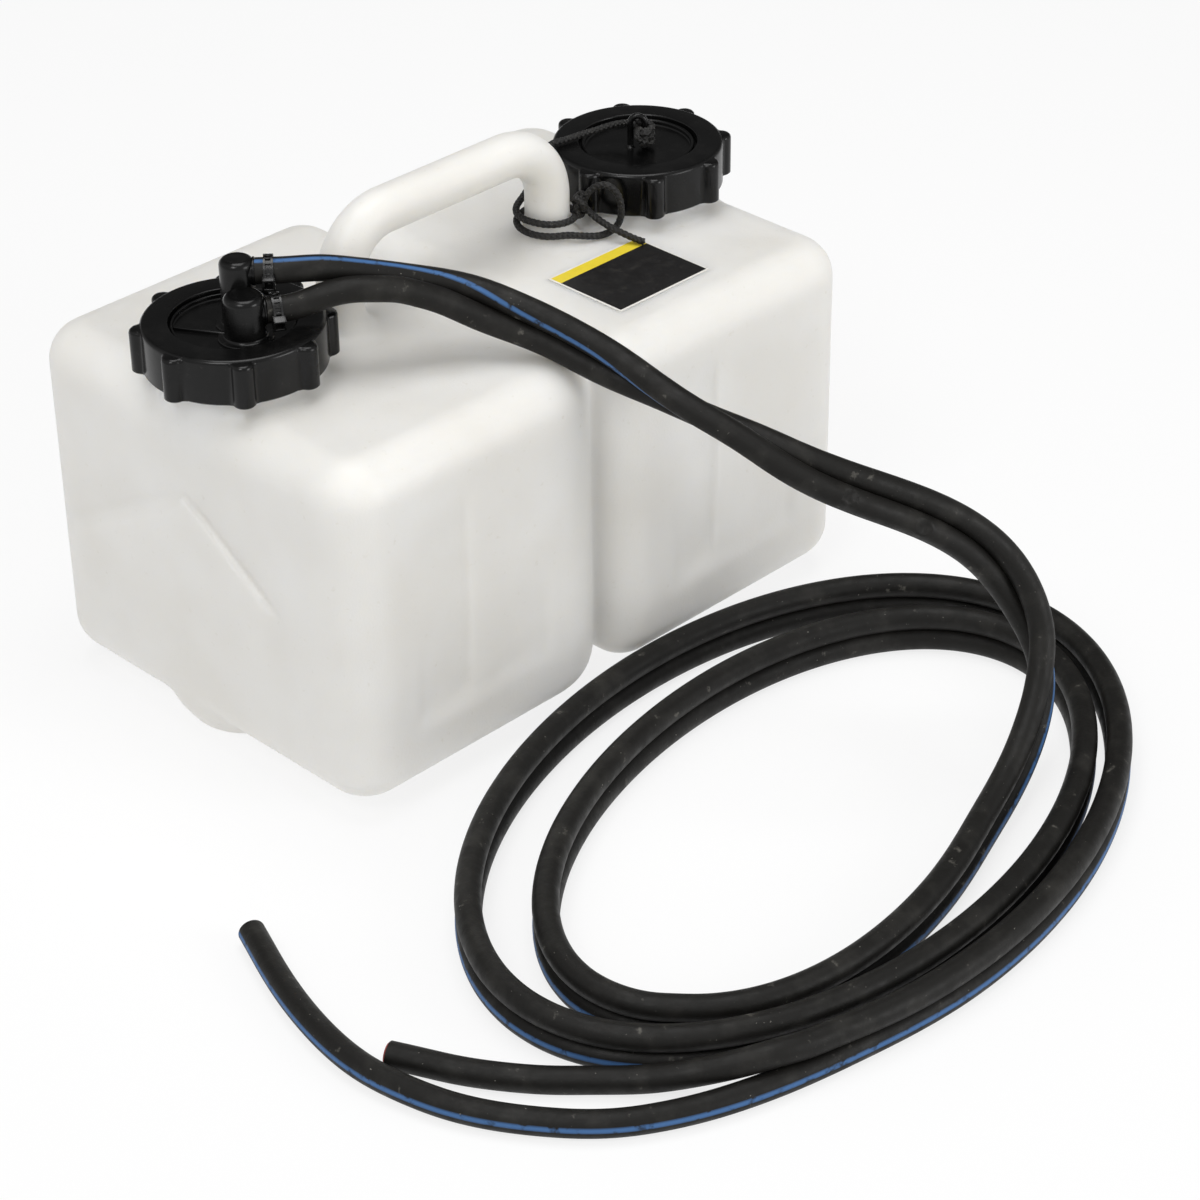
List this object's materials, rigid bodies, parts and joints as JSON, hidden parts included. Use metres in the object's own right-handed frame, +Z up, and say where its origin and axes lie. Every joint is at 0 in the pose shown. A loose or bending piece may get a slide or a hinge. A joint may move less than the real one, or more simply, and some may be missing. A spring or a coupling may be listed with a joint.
{
  "type": "outboard oil tank",
  "caption": "Moulded remote oil tank with a carrying handle, two lugged screw collars, a bonded pair of coiled hoses on barbs and a corded filler cap.",
  "frame": {"origin": "on the floor under the middle of the tank", "axes": "+Z up, +X along the tank from the hose cap to the filler cap, +Y away from the hose coil"},
  "size_m": [0.5039, 0.5417, 0.269],
  "materials": {
    "tank": "natural blow-moulded polyethylene, satin",
    "cap": "black moulded polypropylene, satin",
    "gasket": "black nitrile rubber",
    "tube": "natural nylon tube",
    "screen": "fine stainless mesh",
    "tie": "black nylon",
    "hose": "black rubber, one hose with a blue stripe",
    "tether": "black braided cord",
    "decal_film": "printed film, black and yellow, no words"
  },
  "bodies": {
    "tank_body": {"tank_shell": "tank", "carry_handle": "tank", "top_decal": "decal_film", "pressure_hose_coil": "hose", "pressure_hose_tail": "hose", "oil_hose_coil": "hose", "oil_hose_tail": "hose", "tether_wrap": "tether", "leg_knot": "tether", "tether_bow": "tether"},
    "pickup_insert": {"pickup_plate": "cap", "pickup_gasket": "gasket", "pickup_tube": "tube", "strainer_body": "cap", "strainer_screen": "screen", "pressure_hose_tie": "tie", "oil_hose_tie": "tie", "pressure_hose_run": "hose", "oil_hose_run": "hose"},
    "pickup_ring": {"pickup_collar": "cap"},
    "filler_insert": {"filler_plate": "cap", "filler_gasket": "gasket", "eye_knot": "tether", "cap_tether": "tether"},
    "filler_ring": {"filler_collar": "cap"}
  },
  "joints": [
    {"name": "pickup_lift", "type": "slide", "parent": "tank_body", "child": "pickup_insert", "axis": [0, 0, 1], "range_m": [0, 0.0091]},
    {"name": "pickup_turn", "type": "hinge", "parent": "pickup_insert", "child": "pickup_ring", "pos_m": [-0.142, 0, 0.222], "axis": [0, 0, 1], "range_deg": [0, 540]},
    {"name": "filler_lift", "type": "slide", "parent": "tank_body", "child": "filler_insert", "axis": [0, 0, 1], "range_m": [0, 0.0091]},
    {"name": "filler_turn", "type": "hinge", "parent": "filler_insert", "child": "filler_ring", "pos_m": [0.142, 0, 0.222], "axis": [0, 0, 1], "range_deg": [0, 540]}
  ],
  "couplings": [
    {"joint": "pickup_lift", "follows": "pickup_turn", "m_per_rad": 0.00095493},
    {"joint": "filler_lift", "follows": "filler_turn", "m_per_rad": 0.00095493}
  ]
}
